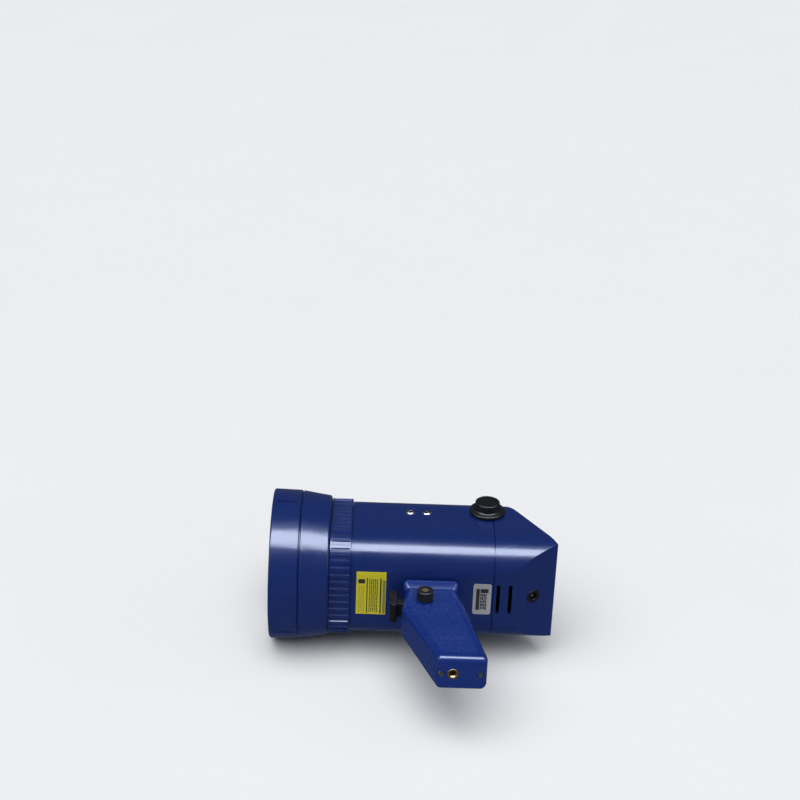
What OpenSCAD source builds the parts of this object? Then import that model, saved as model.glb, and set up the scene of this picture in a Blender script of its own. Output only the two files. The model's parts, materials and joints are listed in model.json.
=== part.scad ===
// Pistol-grip xenon timing light, lying on its right-hand side.
// Tool axes used inside the modules: X runs from the lamp to the rear, Y from the grip to the top of the
// tool, Z out of the tool's left side. place() moves that to the origin at the bottom centre of the box.

/* [Barrel] */
// Width of the barrel from its left side to its right side
body_w = 90; // [86:1:94]
// Height of the barrel from its underside to its top
body_h = 93; // [90:1:96]
// Corner radius of the barrel section
body_r = 27; // [24:1:30]
// Wall thickness of the moulded shells
wall = 2.8; // [2.4:0.1:3.2]
// Length of the main housing, from the collar to the rear seam
main_l = 114; // [112:1:118]

/* [Lamp head] */
// Outer radius of the front bezel
bezel_r = 61; // [60:0.5:63]
// Length of the front bezel
bezel_l = 23.5; // [22:0.5:26]
// Length of the lamp housing behind the bezel
lamp_l = 24; // [24:0.5:27]
// Outer radius of the lamp housing at its rear edge
lamp_rear_r = 57; // [56.5:0.5:58]
// Length of the ribbed collar
collar_l = 17.5; // [16.5:0.5:19]
// How far the collar stands out from the barrel section
collar_proud = 2.5; // [2:0.1:3]
// Distance between the grooves round the collar
groove_pitch = 6.2; // [5:0.1:7]

/* [Rear cap] */
// Length of the rear cap, from the seam to the tip
cap_l = 50.5; // [50:0.5:53]
// Height of the tip above the barrel's centre line (negative is below)
tip_y = -30; // [-31:0.5:-29]
// Lean of the display face from upright
display_tilt = 31.8; // [31:0.1:32.5]
// Lean of the lower rear face from upright
lower_tilt = 63.43; // [63:0.01:64]

/* [Controls] */
// Distance of the control knob's centre ahead of the seam
knob_back = 4.6; // [4.4:0.1:5.2]
// Height of the control knob's centre above the centre line
knob_y = 14.5; // [13:0.5:15]
// Radius of the control knob's skirt
knob_skirt_r = 14.5; // [14:0.25:15]
// Height of the control knob above the side face
knob_h = 10.6; // [10:0.1:11]
// Distance of the two signal jacks behind the collar
jack_first = 46.5; // [45:0.1:50]
// Distance between the two signal jacks
jack_pitch = 13.6; // [11:0.1:14.5]
// Radius of the hole in a signal jack
jack_bore_r = 1.8; // [1.75:0.05:1.85]
// Travel of a key on the display face
key_travel = 0.8; // [0.5:0.1:1]

/* [Grip] */
// Thickness of the grip from side to side
grip_w = 29; // [28:0.5:30]
// Thickness of the saddle pad between barrel and grip
saddle_h = 2; // [1.5:0.5:3]
// Half width of the shoulder at the top of the grip
shoulder_z = 17; // [16:0.5:17.5]
// Distance from the barrel's centre line to the end of the grip
grip_end = 153; // [152:1:155]
// Rounding radius of the grip's edges
grip_r = 5; // [4:0.5:6]
// Travel of the trigger
trigger_travel = 4; // [3:0.5:4]
// Radius of the trigger lock knob
lock_r = 6.5; // [6:0.25:7]
// Radius of the threaded hole for a tripod, at its thread's crest
tripod_r = 2.6; // [2.55:0.05:2.7]

/* [Hidden] */
$fn = 96;

slip = 0.1;
gap = 0.4;
big = 300;

// stations along the barrel
lamp_x = bezel_l;
collar_x = bezel_l + lamp_l;
main_x = collar_x + collar_l;
cap_x = main_x + main_l;
tip_x = cap_x + cap_l;
side_z = body_w / 2;
under_y = -body_h / 2;

// lamp head
lens_r = bezel_r - 5.2;
lens_x = 3.4;
lens_t = 2.5;
dish_r = bezel_r - 8;
dish_x = 8.5;
dish_depth = 35;
dish_focus = dish_r * dish_r / (4 * dish_depth);
dish_t = 1.2;
dish_hole_r = 9;
spigot_r = bezel_r - 3.5;
leg_z = 5;
tube_r = 2.4;
tube_bend_x = 26;
socket_x = 42;
bulkhead = 2.6;
wire_hole_r = 22;
head_screw_ring = 36;

// display face, measured from the tip: x out of the face, y up along it
display_wall = 4.2;
panel_t = 1.8;
panel_low = 8;
panel_high = 76;
panel_half = 33;
window_low = 44;
window_high = 71;
window_half = 27;
key_r = 4.2;
key_mid = 26;
key_ring = 11;
key_proud = 1.3;
mat_x = -6.2;
board_x = -15;

// controls on the left side
knob_x = cap_x - knob_back;
knob_r = 10;
knob_foot = 1.2;
shaft_r = 3;
nut_h = 1.6;
jack_y = 12.3;
jack_r = 2.9;
jack_recess_r = 4.5;
jack_recess = 1.2;
jack_depth = 13;
charge_back = 20.1;
charge_r = 3;
charge_body_r = 4.6;
charge_depth = 7.6;

// grip outline, in tool X and Y
grip_top = -53;
shoulder_top = under_y - saddle_h;
shoulder_edge = -51.5;
shoulder_low = -56.4;
plate_y = grip_top - 2.65;
grip_bottom = -grip_end;
grip_front = main_x + 43.5;
grip_rear = main_x + 85.5;
knee_x = main_x + 40.9;
knee_y = -83;
toe_x = main_x + 66.1;
heel_x = main_x + 105;
grip_z = grip_w / 2;
grip_wall = 2.6;
base_y = grip_bottom + 6;
base_spots = [toe_x + 4.4, heel_x - 5.2];
base_boss_h = 3;
base_screw_r = 1.4;
base_head_r = 2.3;
screw_spots = [[128.5, -64.2], [113.5, -79], [118.5, -97], [127.9, -126]];

// trigger and its lock
trigger_x = knee_x - 8.9;
trigger_top = -50;
trigger_low = -72;
trigger_back = knee_x - 3.5;
trigger_half = 8;
tail_x = 113;
tail_top = -60;
tail_low = -67;
tail_half = 6;
lock_x = 123.8;
lock_y = -73;
lock_pin_r = 2.5;

// tripod bush
tripod_x = 144.3;
bush_l = 10;
bush_r = 4.5;

// battery cells
cell_r = 7.15;
cell_l = 28.5;
cell_step = 28.8;
cell_lean = 12;
rear_cells = [139.8, -59.7];
front_cells = [130.2, -85];

// boards in the barrel
deck_y = -20;
deck_t = 1.6;
deck_x = 74;
deck_l = 90;
deck_half = 36;
post_inset = 6;
post_spots = [for (x = [deck_x + post_inset, deck_x + deck_l - post_inset])
    for (z = [post_inset - deck_half, deck_half - post_inset]) [x, z]];
saddle_bolt_x = [115.5, 143.5];
saddle_bolt_r = 2.5;
wire_way_x = 129.5;
wire_way_r = 5;

// moves tool axes to the part's own frame
module place() {
    translate([-tip_x / 2, (grip_end - bezel_r) / 2, bezel_r])
        children();
}

// outline in tool Y and Z, drawn out along X
module along_x(x, length) {
    translate([x, 0, 0])
        rotate([90, 0, 90])
            linear_extrude(length)
                children();
}

// outline in radius and X, turned round the barrel's centre line
module turned_x() {
    rotate([0, 90, 0])
        rotate_extrude()
            children();
}

module rod_x(x, y, z, r, length) {
    translate([x, y, z])
        rotate([0, 90, 0])
            cylinder(r = r, h = length);
}

// rod from a given height downwards
module rod_down(x, top, z, r, length) {
    translate([x, top, z])
        rotate([90, 0, 0])
            cylinder(r = r, h = length);
}

module ring(r_out, r_in, h) {
    difference() {
        cylinder(r = r_out, h = h);
        translate([0, 0, -1])
            cylinder(r = r_in, h = h + 2);
    }
}

module block(low, high) {
    translate(low)
        cube(high - low);
}

// barrel section, shrunk by an inset
module section(inset = 0) {
    w = body_w - 2 * inset;
    h = body_h - 2 * inset;
    r = body_r - inset;
    square([h - 2 * r, w], center = true);
    square([h, w - 2 * r], center = true);
    for (sy = [-1, 1])
        for (sz = [-1, 1])
            translate([sy * (h / 2 - r), sz * (w / 2 - r)])
                circle(r = r);
}

module round_plate(low, high, half, r, t) {
    linear_extrude(t) {
        translate([low + r, -half])
            square([high - low - 2 * r, 2 * half]);
        translate([low, -half + r])
            square([high - low, 2 * half - 2 * r]);
        for (y = [low + r, high - r])
            for (z = [r - half, half - r])
                translate([y, z])
                    circle(r = r, $fn = 32);
    }
}

// display face frame: x out of the face, y up it, z to the tool's left
module on_display() {
    translate([tip_x, tip_y, 0])
        rotate([0, 0, display_tilt])
            children();
}

// lower rear face frame: x out of the face, y towards the tip
module on_lower() {
    translate([tip_x, tip_y, 0])
        rotate([0, 0, -lower_tilt])
            children();
}

// plate lying on the display face, its outer side at height x
module display_plate(x, low, high, half, r, t) {
    on_display()
        translate([x - t, 0, 0])
            rotate([90, 0, 90])
                round_plate(low, high, half, r, t);
}

module display_rod(x, y, z, r, length) {
    on_display()
        translate([x - length, y, z])
            rotate([0, 90, 0])
                cylinder(r = r, h = length);
}

// everything outside the two rear planes, moved inwards by depths
module rear_cut(display_in, lower_in) {
    on_display()
        block([-display_in, -big, -big], [big, big, big]);
    on_lower()
        block([-lower_in, -big, -big], [big, big, big]);
}

// holes for the two saddle bolts and the wires, from a given height downwards
module saddle_holes(top, length, play) {
    for (x = saddle_bolt_x)
        rod_down(x, top, 0, saddle_bolt_r + play, length);
    rod_down(wire_way_x, top, 0, wire_way_r, length);
}

function arc(cx, cy, r, from, to, n) =
    [for (i = [0:n]) [cx + r * cos(from + (to - from) * i / n), cy + r * sin(from + (to - from) * i / n)]];

// ---- lamp head ----

module front_bezel() {
    inner = bezel_r - 3.4;
    slot_l = bezel_l - 7;
    color("royalblue") difference() {
        turned_x()
            polygon(concat(
                [[bezel_r - 8.5, 2], [bezel_r - 7.5, 0]],
                arc(bezel_r - 1.6, 1.6, 1.6, -90, 0, 6),
                [[bezel_r - 0.5, bezel_l - 1], [bezel_r - 1.2, bezel_l - gap], [inner, bezel_l - gap]],
                [[inner, lens_x + lens_t + 3], [lens_r + slip, lens_x + lens_t + 3]],
                [[lens_r + slip, lens_x], [bezel_r - 8.5, lens_x]]));
        for (turn = [5, 125, 245])
            rotate([turn, 0, 0])
                block([4, -0.9, bezel_r - 1.4], [4 + slot_l, 0.9, bezel_r + 2]);
    }
}

module lens() {
    color([0.85, 0.93, 1, 0.4]) turned_x()
        polygon([[0, lens_x - 0.7], [lens_r * 0.5, lens_x - 0.5], [lens_r - 6, lens_x + 0.02],
            [lens_r, lens_x + 0.02], [lens_r, lens_x + lens_t], [0, lens_x + lens_t - 0.7]]);
}

module lens_gasket() {
    color("dimgray") turned_x()
        polygon([[lens_r - 3, lens_x + lens_t + 0.02], [lens_r, lens_x + lens_t + 0.02],
            [lens_r, dish_x - dish_t - 0.02], [lens_r - 3, dish_x - dish_t - 0.02]]);
}

function dish_at(r) = dish_x + dish_depth - r * r / (4 * dish_focus);

module reflector() {
    n = 20;
    span = dish_r - dish_hole_r;
    color("silver") turned_x()
        polygon(concat(
            [for (i = [0:n]) [dish_hole_r + span * i / n, dish_at(dish_hole_r + span * i / n)]],
            [[lens_r, dish_x - dish_t], [lens_r, dish_x]],
            [for (i = [n:-1:0])
                [dish_hole_r + span * i / n, dish_at(dish_hole_r + span * i / n) + dish_t]]));
}

module flash_tube() {
    color([1, 1, 1, 0.6]) {
        for (s = [-1, 1])
            rod_x(tube_bend_x, 0, s * leg_z, tube_r, socket_x - tube_bend_x + 6);
        intersection() {
            translate([tube_bend_x, 0, 0])
                rotate([90, 0, 0])
                    rotate_extrude()
                        translate([leg_z, 0])
                            circle(r = tube_r, $fn = 32);
            block([tube_bend_x - 20, -20, -20], [tube_bend_x, 20, 20]);
        }
    }
}

module tube_socket() {
    color("white") difference() {
        union() {
            rod_x(socket_x + 0.5, 0, 0, dish_hole_r - 0.2, 9);
            rod_x(collar_x - bulkhead - 1.2, 0, 0, 14, 1.1);
        }
        for (s = [-1, 1])
            rod_x(socket_x - 1, 0, s * leg_z, tube_r + 0.05, 7.05);
    }
}

module lamp_housing() {
    in_r = spigot_r - 2.3;
    front_r = bezel_r - 0.9;
    color("royalblue") difference() {
        turned_x()
            polygon(concat(
                [[in_r, dish_x + 1.8], [spigot_r, dish_x + 1.8], [spigot_r, lamp_x + gap]],
                [[front_r - 0.6, lamp_x + gap], [front_r, lamp_x + 1]],
                arc(lamp_rear_r - 2.5, collar_x - 2.5, 2.5, 0, 90, 8),
                [[wire_hole_r, collar_x], [wire_hole_r, collar_x - bulkhead]],
                arc(lamp_rear_r - 5.5, collar_x - bulkhead - 2.5, 2.5, 90, 0, 6),
                [[in_r, lamp_x + 4]]));
        head_holes(1.7);
    }
}

module head_holes(r) {
    for (a = [45:90:315])
        rotate([a, 0, 0])
            rod_x(collar_x - 10, 0, head_screw_ring, r, 20);
}

module head_screws() {
    color("silver")
        for (a = [45:90:315])
            rotate([a, 0, 0]) {
                rod_x(collar_x - bulkhead - 2.3, 0, head_screw_ring, 2.9, 2.3);
                rod_x(collar_x - bulkhead - 0.1, 0, head_screw_ring, 1.5, 8);
            }
}

// point and outward normal at a distance round the collar's outline
collar_half_w = body_w / 2 + collar_proud;
collar_half_h = body_h / 2 + collar_proud;
collar_r = body_r + collar_proud;
flat_w = 2 * (collar_half_w - collar_r);
flat_h = 2 * (collar_half_h - collar_r);
quarter = PI * collar_r / 2;
half_round = flat_w + flat_h + 2 * quarter;

function corner(sy, turn, angle) = [
    sy * flat_h / 2 + collar_r * cos(turn + angle), flat_w / 2 + collar_r * sin(turn + angle),
    cos(turn + angle), sin(turn + angle)];

function outline(s) =
    s >= half_round ? -outline(s - half_round) :
    s < flat_w ? [collar_half_h, s - flat_w / 2, 1, 0] :
    s < flat_w + quarter ? corner(1, 0, (s - flat_w) / quarter * 90) :
    s < flat_w + quarter + flat_h ? [flat_h / 2 - (s - flat_w - quarter), collar_half_w, 0, 1] :
    corner(-1, 90, (s - flat_w - quarter - flat_h) / quarter * 90);

function groove_point(s, depth) =
    [outline(s)[0] - depth * outline(s)[2], outline(s)[1] - depth * outline(s)[3]];

module vent_collar() {
    grooves = round(2 * half_round / groove_pitch);
    step = 2 * half_round / grooves;
    rim = 1.3;
    length = collar_l - gap;
    color("royalblue") difference() {
        union() {
            along_x(collar_x + gap, length - rim)
                polygon([for (i = [0:grooves - 1])
                    for (p = [[0.2, 0], [0.28, 1], [0.72, 1], [0.8, 0]])
                        groove_point(((i + p[0]) * step) % (2 * half_round), p[1])]);
            along_x(collar_x + gap, rim)
                section(0.2 - collar_proud);
            along_x(main_x - rim, rim - 0.4)
                section(0.2 - collar_proud);
            along_x(main_x - 1, 8)
                section(wall + slip);
        }
        along_x(collar_x + gap + bulkhead, collar_l + 8)
            section(2 * wall);
        rod_x(collar_x - 1, 0, 0, wire_hole_r, 10);
        head_holes(1.5);
    }
}

// ---- barrel ----

// shaft and jack openings through the left side
module side_holes() {
    translate([knob_x, knob_y, side_z - 8])
        cylinder(r = shaft_r + 0.6, h = 12);
    for (x = jack_xs)
        translate([x, jack_y, side_z]) {
            translate([0, 0, -8])
                cylinder(r = jack_r + 0.1, h = 12);
            translate([0, 0, -jack_recess])
                cylinder(r = jack_recess_r, h = 4);
        }
}

jack_xs = [main_x + jack_first, main_x + jack_first + jack_pitch];

module main_housing() {
    post_r = 3.3;
    lip = 5;
    color("navy") difference() {
        union() {
            difference() {
                along_x(main_x, main_l - gap)
                    section();
                along_x(main_x - 1, main_l + 2)
                    section(wall);
            }
            difference() {
                union() {
                    along_x(cap_x - 8, 8 - gap)
                        section(wall - 0.3);
                    along_x(cap_x - 1, 1 + lip)
                        section(wall + slip);
                }
                along_x(cap_x - 9, 10 + lip)
                    section(wall + 2);
                rear_cut(display_wall + 1, wall + 1);
            }
            for (p = post_spots)
                rod_down(p[0], deck_y - slip, p[1], post_r, 21.5);
        }
        side_holes();
        saddle_holes(under_y + 10, 14, 0.1);
        for (p = post_spots)
            rod_down(p[0], deck_y + 1, p[1], 1.25, 14);
        cap_screw_holes(cap_screw_r + 0.05);
        // notch in the lip, so that it leaves the cap's first vent slot open
        block([vent_xs[0] - 0.5, under_y, -vent_half - 0.5],
            [cap_x + lip + 1, under_y + wall + 3, vent_half + 0.5]);
    }
}

// vent slots in the underside of the rear cap
vent_xs = [cap_x + 2.5, cap_x + 12.1];
vent_half = 13;

cap_screw_x = cap_x + 2.6;
cap_screw_y = 18;
cap_screw_r = 1.3;

module cap_screw_holes(r) {
    for (y = [-cap_screw_y, cap_screw_y])
        translate([cap_screw_x, y, -side_z - 1])
            cylinder(r = r, h = 7);
}

module rear_cap() {
    color("navy") difference() {
        along_x(cap_x + gap, cap_l + 10)
            section();
        difference() {
            along_x(cap_x - 1, cap_l + 12)
                section(wall);
            rear_cut(display_wall, wall);
        }
        rear_cut(0, 0);
        // recess and openings of the display face
        display_plate(1, panel_low, panel_high, panel_half, 6, panel_t + 1.1);
        display_plate(1, window_low - 1, window_high + 1, window_half + 1, 3, 8);
        display_plate(1, key_mid - 17, key_mid + 17, 20, 5, 8);
        // vent slots in the underside
        for (x = vent_xs)
            block([x, under_y - 1, -vent_half], [x + 3, under_y + wall + 1, vent_half]);
        // charging socket in the lower rear face
        on_lower()
            translate([-wall - 4, -charge_back, 0])
                rotate([0, 90, 0])
                    cylinder(r = charge_body_r + 0.1, h = 10);
        cap_screw_holes(cap_screw_r + 0.3);
        panel_holes(1.1);
    }
}

module cap_screws() {
    color("silver")
        for (y = [-cap_screw_y, cap_screw_y])
            translate([cap_screw_x, y, -side_z - 0.9]) {
                cylinder(r = 2.7, h = 0.9);
                cylinder(r = cap_screw_r, h = 6);
            }
}

film_t = 0.25;
label_w = 14.5;
label_half = 14;
sticker_top = 21.8;
sticker_low = -17.1;

module rating_label() {
    color("gainsboro")
        translate([cap_x - label_w - 1.5, under_y, 0])
            rotate([90, 0, 0])
                round_plate(0, label_w, label_half, 2, film_t);
}

module caution_sticker() {
    color("gold") intersection() {
        along_x(main_x + 4.7, 23.7)
            difference() {
                section(-film_t);
                section();
            }
        block([main_x, under_y - 1, sticker_low], [main_x + 40, 0, sticker_top]);
    }
}

// ---- display face ----

module display_panel() {
    color([0.08, 0.08, 0.09]) difference() {
        display_plate(0.1, panel_low + 0.3, panel_high - 0.3, panel_half - 0.3, 5.7, panel_t);
        display_plate(1, window_low, window_high, window_half, 2, 4);
        for (k = key_spots)
            display_rod(2, k[0], k[1], key_r + 0.3, 8);
        panel_holes(1.4);
    }
}

key_spots = [[key_mid + key_ring, 0], [key_mid - key_ring, 0], [key_mid, key_ring + 1],
    [key_mid, -key_ring - 1], [key_mid, 0]];

module panel_holes(r) {
    for (y = [panel_low + 4.5, panel_high - 4.5])
        for (z = [4.5 - panel_half, panel_half - 4.5])
            display_rod(2, y, z, r, 6.5);
}

module panel_screws() {
    color("silver")
        for (y = [panel_low + 4.5, panel_high - 4.5])
            for (z = [4.5 - panel_half, panel_half - 4.5]) {
                display_rod(1, y, z, 2.4, 0.85);
                display_rod(0.3, y, z, 1, 4.4);
            }
}

module display_window() {
    color([0.7, 0.85, 0.8, 0.5])
        display_plate(0, window_low + 0.15, window_high - 0.15, window_half - 0.15, 1.9, 1.4);
}

module lcd_module() {
    color("olivedrab") {
        display_plate(-display_wall - 0.1, window_low - 1, window_high + 1, window_half + 1, 1, 3.5);
        display_plate(-display_wall - 3.5, window_low - 4, window_high + 3, window_half + 3, 1, 1.6);
    }
}

module keypad_mat() {
    color("dimgray")
        display_plate(mat_x, key_mid - 16, key_mid + 16, 19, 4, 1.5);
}

// rubber key with a domed top
module key(spot) {
    stem = key_proud - mat_x - key_travel - 0.4;
    color([0.2, 0.2, 0.22])
        on_display()
            translate([key_proud - stem, spot[0], spot[1]])
                rotate([0, 90, 0])
                    rotate_extrude()
                        polygon([[0, 0], [key_r, 0], [key_r, stem - 1.2], [key_r - 0.25, stem - 0.6],
                            [key_r - 0.9, stem - 0.15], [key_r * 0.5, stem - 0.02], [0, stem]]);
}

module key_up() {
    key(key_spots[0]);
}

module key_down() {
    key(key_spots[1]);
}

module key_left() {
    key(key_spots[2]);
}

module key_right() {
    key(key_spots[3]);
}

module key_set() {
    key(key_spots[4]);
}

module main_board() {
    color("darkgreen") {
        display_plate(board_x, 14, 70, 31, 2, 1.6);
        for (z = [-16, 6])
            on_display()
                block([board_x + 0.02, 50, z], [board_x + 2.2, 60, z + 10]);
    }
}

// ---- left side controls ----

module control_knob() {
    skirt = 2.4;
    flutes = 24;
    color([0.06, 0.06, 0.07])
        translate([knob_x, knob_y, side_z + knob_foot])
            difference() {
                rotate_extrude()
                    polygon(concat(
                        [[0, 0.8], [knob_skirt_r - 2, 0.8], [knob_skirt_r - 1.5, 0], [knob_skirt_r, 0]],
                        arc(knob_skirt_r - 1, skirt - 1, 1, 0, 90, 4),
                        [[knob_r + 0.9, skirt + 0.2], [knob_r + 0.4, skirt + 0.8]],
                        arc(knob_r - 0.9, knob_h - knob_foot - 0.9, 0.9, 0, 90, 4),
                        [[knob_r - 1.8, knob_h - knob_foot], [knob_r - 1.8, knob_h - knob_foot - 1.1]],
                        [[0, knob_h - knob_foot - 1.1]]));
                for (i = [0:flutes - 1])
                    rotate([0, 0, 360 / flutes * (i + 0.5)])
                        translate([knob_r + 0.45, 0, skirt + 0.9])
                            cylinder(r = 0.6, h = 10, $fn = 16);
                translate([0, 0, -1])
                    cylinder(r = shaft_r, h = knob_h - knob_foot - 1.6);
                translate([0, 0, -1])
                    cylinder(r = 5.9, h = nut_h + 2);
            }
}

module knob_cap() {
    color("gray")
        translate([knob_x, knob_y, side_z + knob_h - 1.1])
            difference() {
                cylinder(r = knob_r - 1.85, h = 0.9);
                block([3.2, -0.6, 0.6], [knob_r, 0.6, 3]);
            }
}

module encoder_shaft() {
    color("silver")
        translate([knob_x, knob_y, side_z - 9])
            cylinder(r = shaft_r, h = 9 + knob_h - 2.7);
}

module encoder_body() {
    color("slategray")
        translate([knob_x, knob_y, 0])
            difference() {
                union() {
                    block([-6, -6, side_z - 11], [6, 6, side_z - wall - 2.1]);
                    translate([0, 0, side_z - 8])
                        cylinder(r = shaft_r + 0.55, h = 8 - 0.5);
                }
                translate([0, 0, side_z - 9.1])
                    cylinder(r = shaft_r + 0.05, h = 12);
            }
}

module encoder_nut() {
    color("silver")
        translate([knob_x, knob_y, side_z + 0.02])
            ring(5.4, shaft_r + 0.06, nut_h - 0.6);
}

module jack(x) {
    color("silver")
        translate([x, jack_y, side_z]) {
            difference() {
                union() {
                    translate([0, 0, -8])
                        cylinder(r = jack_r, h = 7.9);
                    translate([0, 0, -jack_recess])
                        rotate_extrude()
                            polygon([[0, 0], [3.9, 0], [3.9, 0.7], [3.2, 1], [2.9, 1.5], [0, 1.5]]);
                    block([-4.4, -4, -jack_depth - 2], [4.4, 4, -wall - 0.2]);
                }
                translate([0, 0, -jack_depth])
                    cylinder(r = jack_bore_r, h = 20);
            }
        }
}

module input_jack() {
    jack(jack_xs[0]);
}

module output_jack() {
    jack(jack_xs[1]);
}

module charge_jack() {
    color([0.1, 0.1, 0.1])
        on_lower()
            translate([0, -charge_back, 0])
                rotate([0, 90, 0])
                    difference() {
                        union() {
                            translate([0, 0, -charge_depth - 1.8])
                                cylinder(r = charge_body_r, h = charge_depth + 1.82);
                            translate([0, 0, 0.02])
                                cylinder(r = 5.6, h = 0.8);
                        }
                        translate([0, 0, -charge_depth])
                            cylinder(r = charge_r, h = 20);
                    }
}

module charge_pin() {
    color("silver")
        on_lower()
            translate([-charge_depth, -charge_back, 0])
                rotate([0, 90, 0])
                    cylinder(r = 1, h = charge_depth - 1);
}

// ---- grip ----

grip_corners = [[grip_front, grip_top, 1, -1], [grip_rear, grip_top, -1, -1],
    [heel_x, grip_bottom, -1, 1], [toe_x, grip_bottom, 1, 1], [knee_x, knee_y, 1, 0]];

// solid of the grip with rounded edges
module grip_form() {
    hull()
        for (c = grip_corners)
            for (z = [grip_r - grip_z, grip_z - grip_r])
                translate([c[0] + c[2] * grip_r, c[1] + c[3] * grip_r, z])
                    sphere(r = grip_r, $fn = 24);
}

// hollow inside the grip
module grip_hollow() {
    half = grip_z - grip_wall;
    translate([0, 0, -half])
        linear_extrude(2 * half)
            polygon([for (c = grip_corners) [c[0] + c[2] * grip_wall, c[1] + c[3] * grip_wall]]);
}

// flared shoulder that meets the saddle pad
module shoulder() {
    hull() {
        shoulder_slab(shoulder_top, shoulder_top - shoulder_edge, 0, shoulder_z);
        shoulder_slab(shoulder_low + 0.2, 0.2, 1.6, grip_z - 0.2);
    }
}

module shoulder_slab(top, h, inset, half) {
    r = 4;
    translate([0, top, 0])
        rotate([90, 0, 0])
            for (x = [grip_front - 1.5 + inset + r, grip_rear + 0.5 - inset - r])
                for (z = [r - half, half - r])
                    translate([x, z, 0])
                        cylinder(r = r, h = h, $fn = 32);
}

// hollow grip above the base joint
module grip_shell() {
    difference() {
        union() {
            difference() {
                union() {
                    grip_form();
                    shoulder();
                }
                grip_hollow();
            }
            // bosses for the base screws, joined to the front and rear walls
            block([base_spots[0] - 5.4, base_y, -3.2], [base_spots[0] + 2.7, base_y + base_boss_h, 3.2]);
            block([base_spots[1] - 3, base_y, -3.2], [base_spots[1] + 2.6, base_y + base_boss_h, 3.2]);
        }
        for (x = base_spots)
            rod_down(x, base_y + base_boss_h + 1, 0, base_screw_r + 0.05, 8);
        block([-big, -big, -big], [big, base_y, big]);
        // mouth of the trigger's tail
        block([knee_x - 5, tail_low - 0.5, -tail_half - 0.4], [knee_x + 9, tail_top + 0.5, tail_half + 0.4]);
        saddle_holes(shoulder_top + 2, 11, 0.1);
    }
}

module grip_posts(r) {
    for (p = screw_spots)
        translate([p[0], p[1], -grip_z + 1])
            cylinder(r = r, h = grip_w - 2);
}

module grip_left() {
    color("mediumblue") difference() {
        union() {
            grip_shell();
            grip_posts(2.8);
        }
        block([-big, -big, -big], [big, big, 0.05]);
        for (p = screw_spots)
            translate([p[0], p[1], -1])
                cylinder(r = 1.1, h = 11);
        translate([lock_x, lock_y, 0])
            cylinder(r = lock_pin_r + 0.05, h = 40);
    }
}

module grip_right() {
    color("mediumblue") difference() {
        union() {
            grip_shell();
            grip_posts(3.4);
        }
        block([-big, -big, -0.05], [big, big, big]);
        for (p = screw_spots)
            translate([p[0], p[1], -grip_z - 1]) {
                cylinder(r = 1.6, h = 30);
                cylinder(r = 2.7, h = 4);
            }
    }
}

module grip_screws() {
    color("silver")
        for (p = screw_spots)
            translate([p[0], p[1], -grip_z + 0.9]) {
                cylinder(r = 2.6, h = 2.1);
                cylinder(r = 1.1, h = grip_z + 6);
            }
}

module grip_saddle() {
    front = grip_front + 0.5;
    back = grip_rear - 1.5;
    half = 14.5;
    r = 4;
    color("navy") difference() {
        translate([0, under_y - 0.02, 0])
            rotate([90, 0, 0])
                linear_extrude(saddle_h - 0.04) {
                    translate([front + r, -half])
                        square([back - front - 2 * r, 2 * half]);
                    translate([front, r - half])
                        square([back - front, 2 * half - 2 * r]);
                    for (x = [front + r, back - r])
                        for (z = [r - half, half - r])
                            translate([x, z])
                                circle(r = r, $fn = 32);
                }
        saddle_holes(under_y + 2, 12, 0.1);
    }
}

module saddle_plate() {
    y = plate_y;
    color("silver") difference() {
        block([saddle_bolt_x[0] - 3.8, y - 2, -8], [saddle_bolt_x[1] + 3.6, y, 8]);
        saddle_holes(y + 1, 4, 0);
    }
}

module saddle_bolts() {
    y = under_y + wall + 0.02;
    color("silver")
        for (x = saddle_bolt_x) {
            rod_down(x, y + 3.5, 0, 4.3, 3.5);
            rod_down(x, y + 0.1, 0, saddle_bolt_r, y - plate_y + 2);
        }
}

module grip_base() {
    color("mediumblue") difference() {
        union() {
            intersection() {
                grip_form();
                block([-big, -big, -big], [big, base_y - 0.1, big]);
            }
            rod_down(tripod_x, grip_bottom + bush_l + 0.8, 0, bush_r + 1.2, 7);
        }
        rod_down(tripod_x, grip_bottom + bush_l, 0, bush_r, bush_l + 2);
        for (p = base_spots)
            rod_down(p, base_y + 2, 0, base_screw_r + 0.2, 20);
        for (p = base_spots)
            rod_down(p, grip_bottom + 2.6, 0, base_head_r + 0.2, 6);
    }
}

module base_screws() {
    color("silver")
        for (x = base_spots) {
            rod_down(x, grip_bottom + 2.5, 0, base_head_r, 2);
            rod_down(x, base_y + base_boss_h - 0.2, 0, base_screw_r, base_boss_h + 3.8);
        }
}

module tripod_bush() {
    color("gold") difference() {
        rod_down(tripod_x, grip_bottom + bush_l - 0.05, 0, bush_r - 0.02, bush_l - 0.05);
        rod_down(tripod_x, grip_bottom + bush_l - 1, 0, tripod_r, bush_l + 2);
    }
}

// ---- trigger, its switch and its lock ----

module trigger() {
    mid = (trigger_top + trigger_low) / 2;
    bow = 24;
    color([0.05, 0.05, 0.06]) difference() {
        union() {
            translate([0, 0, -trigger_half])
                linear_extrude(2 * trigger_half)
                    polygon(concat(
                        [[trigger_back, trigger_low + 1.5], [trigger_back, trigger_top]],
                        [[trigger_x + 0.6, trigger_top]],
                        arc(trigger_x + 1.6 - bow, mid, bow, 23, -23, 12),
                        [[trigger_x + 0.6, trigger_low + 1], [trigger_x + 2, trigger_low]],
                        [[trigger_back - 1, trigger_low]]));
            block([trigger_back - 1, tail_low, -tail_half], [tail_x, tail_top, tail_half]);
        }
        rod_x(tail_x - 4.5, (tail_top + tail_low) / 2, 0, 2.4, 10);
    }
}

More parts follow.
